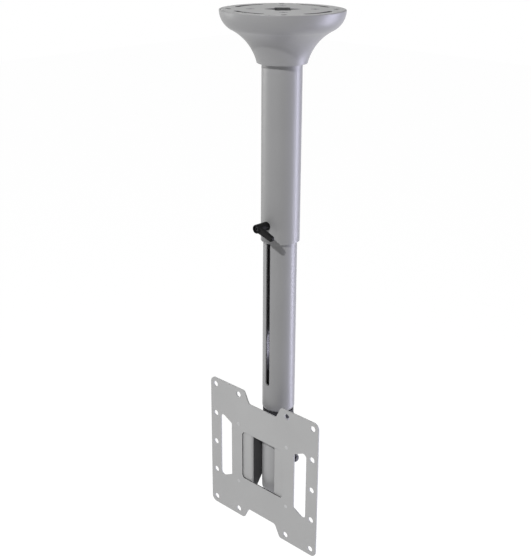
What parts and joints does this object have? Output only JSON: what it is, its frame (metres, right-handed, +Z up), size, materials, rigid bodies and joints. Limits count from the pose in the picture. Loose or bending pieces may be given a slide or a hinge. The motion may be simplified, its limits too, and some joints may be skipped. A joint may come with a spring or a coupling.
{
  "type": "tv ceiling mount",
  "caption": "Ceiling mount for a television: bell cover, telescoping tubes with a clamp lever, swivel head and a tilting plate with screen mounting holes.",
  "frame": {"origin": "centre of the ceiling plate's upper face, on the axis of the tubes", "axes": "+Z up into the ceiling, the slot in the inner tube and the screen plate's front face -Y, +X to the right as seen from the front"},
  "size_m": [0.221, 0.1654, 0.7731],
  "materials": {
    "silver_paint": "satin silver powder coat",
    "silver_cover": "satin silver powder coat on spun aluminium",
    "silver_casting": "satin silver powder coat on a casting",
    "grey_paint": "matte grey powder coat",
    "zinc_steel": "zinc plated",
    "black_steel": "blackened",
    "spring_steel": "bright spring steel",
    "cast_alloy": "as cast",
    "black_plastic": "moulded, fine grain",
    "dark_plastic": "moulded, smooth"
  },
  "bodies": {
    "root": {"ceiling_plate": "grey_paint", "tube_collar": "zinc_steel", "flange_screws": "zinc_steel", "lock_screws": "black_steel", "outer_tube": "silver_paint", "lower_guide": "black_plastic", "clamp_nut": "cast_alloy", "clamp_saddle": "black_plastic"},
    "cover": {"ceiling_cover": "silver_cover"},
    "clamp": {"clamp_stud": "zinc_steel", "lever_screw": "black_steel", "lever_spring": "spring_steel"},
    "lever": {"clamp_lever": "black_plastic"},
    "mast": {"inner_tube": "silver_paint", "upper_guide": "black_plastic", "swivel_plug": "cast_alloy", "swivel_ring": "dark_plastic", "swivel_bolt": "zinc_steel", "swivel_washer": "zinc_steel", "swivel_spring": "spring_steel", "swivel_nut": "zinc_steel"},
    "head": {"swivel_head": "silver_casting", "friction_washers": "dark_plastic"},
    "screen": {"pivot_bolt": "zinc_steel", "pivot_washers": "zinc_steel", "pivot_spring": "spring_steel", "pivot_nut": "zinc_steel", "tilt_arm_left": "grey_paint", "tilt_arm_right": "grey_paint", "arm_rivets": "zinc_steel", "screen_plate": "grey_paint"}
  },
  "joints": [
    {"name": "cover_slide", "type": "slide", "parent": "root", "child": "cover", "axis": [0, 0, 1], "range_m": [-0.19, 0]},
    {"name": "clamp_turn", "type": "hinge", "parent": "root", "child": "clamp", "pos_m": [0, -0.03, -0.288], "axis": [0, -1, 0], "range_deg": [0, 180]},
    {"name": "lever_lift", "type": "slide", "parent": "clamp", "child": "lever", "axis": [0, -1, 0], "range_m": [0, 0.0024], "stiffness_N_per_m": 400, "springref_m": -0.004, "deforming": ["lever_spring"]},
    {"name": "height_slide", "type": "slide", "parent": "root", "child": "mast", "axis": [0, 0, 1], "range_m": [0, 0.237]},
    {"name": "screen_swivel", "type": "hinge", "parent": "mast", "child": "head", "pos_m": [0, 0, -0.5872], "axis": [0, 0, 1], "continuous": true},
    {"name": "screen_tilt", "type": "hinge", "parent": "head", "child": "screen", "pos_m": [0, 0, -0.6502], "axis": [1, 0, 0], "range_deg": [-4.5, 6.5]}
  ]
}
